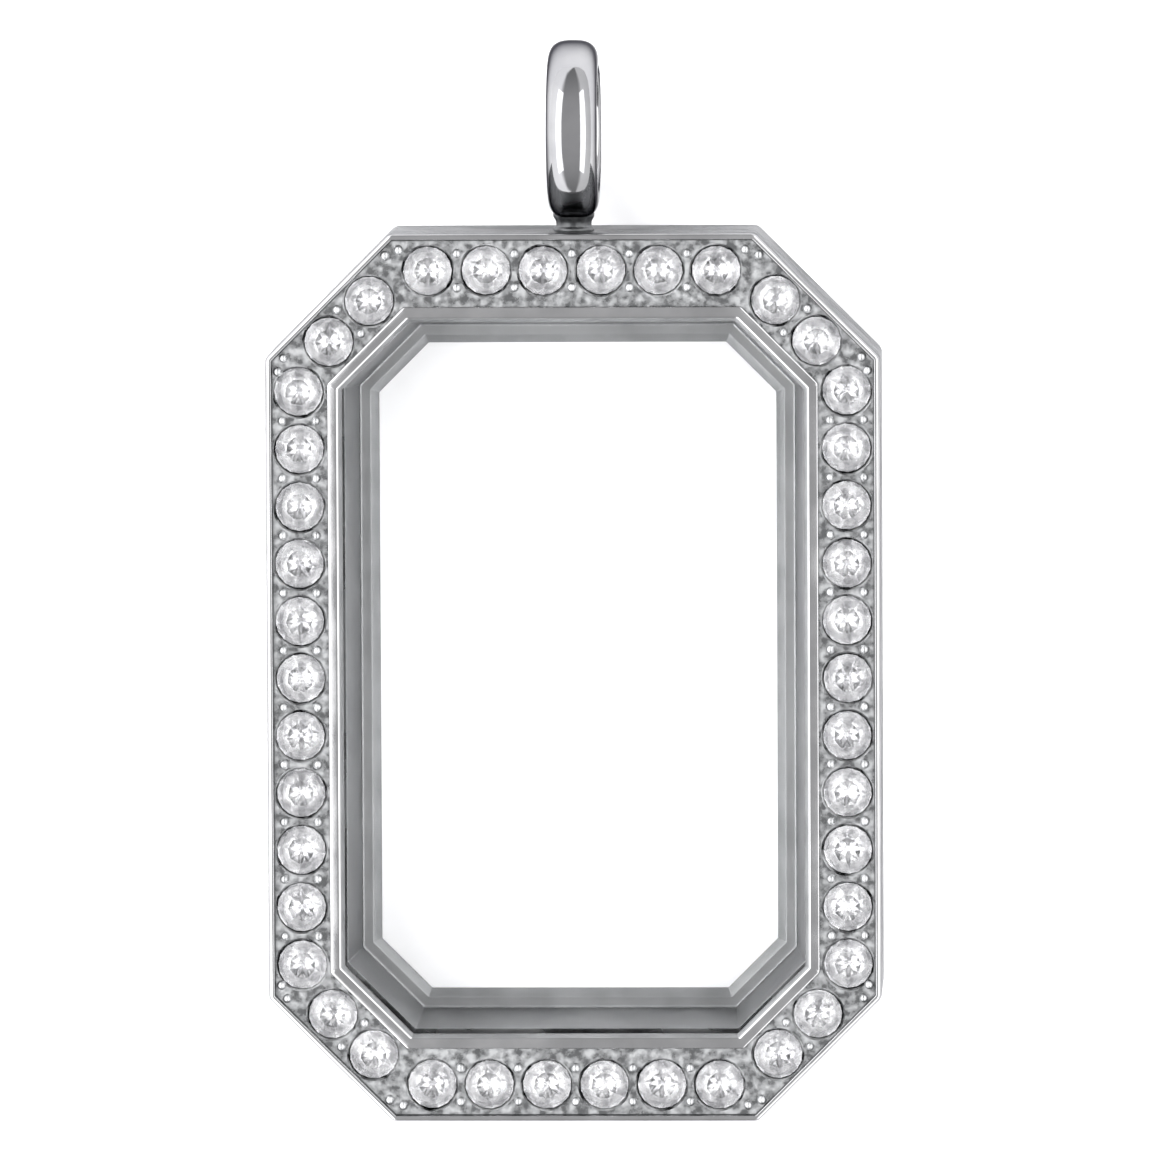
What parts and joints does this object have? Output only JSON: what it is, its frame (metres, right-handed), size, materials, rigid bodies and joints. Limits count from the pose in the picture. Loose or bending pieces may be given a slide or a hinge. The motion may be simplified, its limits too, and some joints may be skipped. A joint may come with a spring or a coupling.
{
  "type": "floating locket",
  "caption": "See-through hinged pendant case with cut corners, two glass windows, a border of round crystals on its cover and a fixed ring bail.",
  "frame": {"origin": "on the surface that the locket rests on, under the middle of its whole length and width", "axes": "+X to the right of the front, +Y along the length towards the bail, +Z out of the front window"},
  "size_m": [0.0252, 0.0446, 0.0074],
  "materials": {
    "polished_steel": "mirror-polished stainless steel",
    "window_glass": "clear, flat and polished",
    "cut_crystal": "clear faceted crystal with a foiled back"
  },
  "bodies": {
    "case": {"back_frame": "polished_steel", "back_glass": "window_glass", "bail": "polished_steel", "hinge_pin": "polished_steel"},
    "cover": {"front_frame": "polished_steel", "front_glass": "window_glass", "crystal_01": "cut_crystal", "crystal_02": "cut_crystal", "crystal_03": "cut_crystal", "crystal_04": "cut_crystal", "crystal_05": "cut_crystal", "crystal_06": "cut_crystal", "crystal_07": "cut_crystal", "crystal_08": "cut_crystal", "crystal_09": "cut_crystal", "crystal_10": "cut_crystal", "crystal_11": "cut_crystal", "crystal_12": "cut_crystal", "crystal_13": "cut_crystal", "crystal_14": "cut_crystal", "crystal_15": "cut_crystal", "crystal_16": "cut_crystal", "crystal_17": "cut_crystal", "crystal_18": "cut_crystal", "crystal_19": "cut_crystal", "crystal_20": "cut_crystal", "crystal_21": "cut_crystal", "crystal_22": "cut_crystal", "crystal_23": "cut_crystal", "crystal_24": "cut_crystal", "crystal_25": "cut_crystal", "crystal_26": "cut_crystal", "crystal_27": "cut_crystal", "crystal_28": "cut_crystal", "crystal_29": "cut_crystal", "crystal_30": "cut_crystal", "crystal_31": "cut_crystal", "crystal_32": "cut_crystal", "crystal_33": "cut_crystal", "crystal_34": "cut_crystal", "crystal_35": "cut_crystal", "crystal_36": "cut_crystal", "crystal_37": "cut_crystal", "crystal_38": "cut_crystal", "crystal_39": "cut_crystal", "crystal_40": "cut_crystal", "crystal_41": "cut_crystal", "crystal_42": "cut_crystal"}
  },
  "joints": [
    {"name": "cover_hinge", "type": "hinge", "parent": "case", "child": "cover", "pos_m": [-0.01205, -0.00392, 0.004], "axis": [0, -1, 0], "range_deg": [0, 110]}
  ]
}
